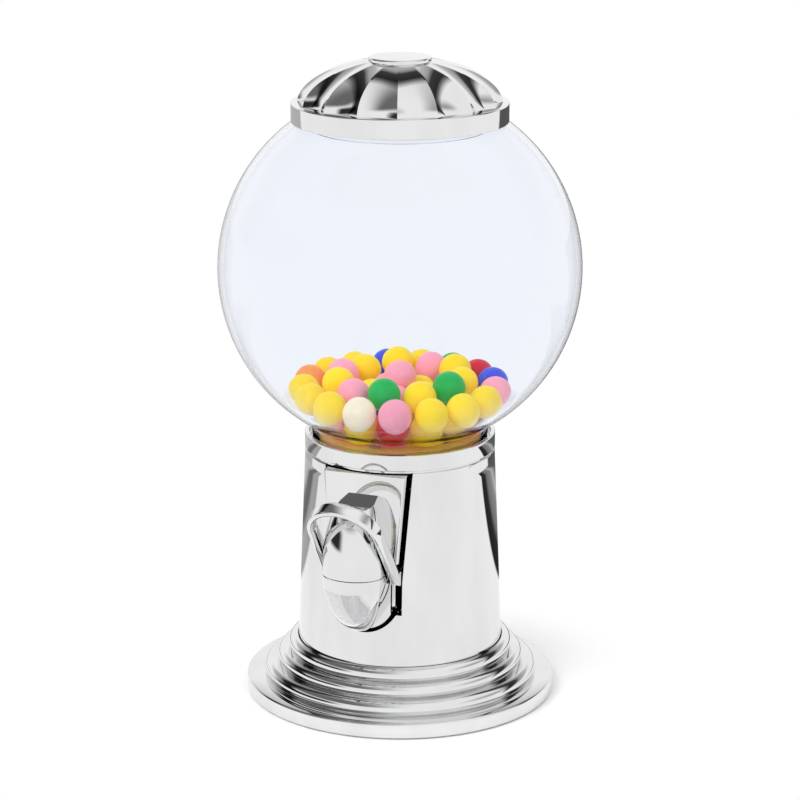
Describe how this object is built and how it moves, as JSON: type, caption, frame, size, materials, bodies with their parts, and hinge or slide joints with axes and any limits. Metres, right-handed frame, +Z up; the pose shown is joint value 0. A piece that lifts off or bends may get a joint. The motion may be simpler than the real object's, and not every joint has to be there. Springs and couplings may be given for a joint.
{
  "type": "gumball machine",
  "caption": "Table gumball machine: polished metal foot and column, clear glass globe of gumballs, fluted lid, and a pull-down stirrup lever over a hood and catch cup.",
  "frame": {"origin": "centre of the felt's underside, on the machine's upright axis", "axes": "+Z up, the front panel and lever towards -Y, +X to the right as seen from the front"},
  "size_m": [0.1704, 0.1704, 0.306],
  "materials": {
    "chrome": "polished",
    "steel": "satin",
    "glass": "clear",
    "brass": "satin",
    "gasket": "matte",
    "felt": "matte",
    "cover_paint": "satin",
    "hopper_plastic": "satin",
    "cast_alloy": "satin",
    "liner_plastic": "gloss",
    "gum_yellow": "gloss",
    "gum_pink": "gloss",
    "gum_green": "gloss",
    "gum_blue": "gloss",
    "gum_red": "gloss",
    "gum_cream": "gloss",
    "gum_orange": "gloss"
  },
  "bodies": {
    "base": {"felt_ring": "felt", "base_cover": "cover_paint", "base_screws": "steel", "foot": "chrome", "column_screws": "steel", "column": "chrome", "seat_ring": "chrome", "seat_screws": "steel", "front_panel": "chrome", "panel_screws": "steel", "chute_hood": "chrome", "catch_cup": "chrome", "cover_screws": "steel", "chute": "cast_alloy", "chute_screws": "steel", "shaft_bushes": "brass", "spring_pin": "steel", "return_spring": "steel", "hopper": "hopper_plastic", "hopper_screws": "steel", "globe_gasket": "gasket", "globe": "glass", "gumballs_yellow": "gum_yellow", "gumballs_pink": "gum_pink", "gumballs_green": "gum_green", "gumballs_blue": "gum_blue", "gumballs_red": "gum_red", "gumballs_cream": "gum_cream", "gumballs_orange": "gum_orange"},
    "lever": {"lever": "chrome", "lever_shaft": "steel", "lever_nuts": "steel", "gate_rocker": "cast_alloy", "rocker_pin": "steel"},
    "lid": {"lid_liner": "liner_plastic", "lid_shell": "chrome", "lid_knob": "chrome", "lid_screw": "steel"}
  },
  "joints": [
    {"name": "lever_pull", "type": "hinge", "parent": "base", "child": "lever", "pos_m": [0, -0.02449, 0.07585], "axis": [1, 0, 0], "range_deg": [0, 32], "stiffness_Nm_per_rad": 0.12, "springref_deg": -20.05, "deforming": ["return_spring"]},
    {"name": "lid_lift", "type": "slide", "parent": "base", "child": "lid", "axis": [0, 0, 1], "range_m": [0, 0.06]}
  ]
}
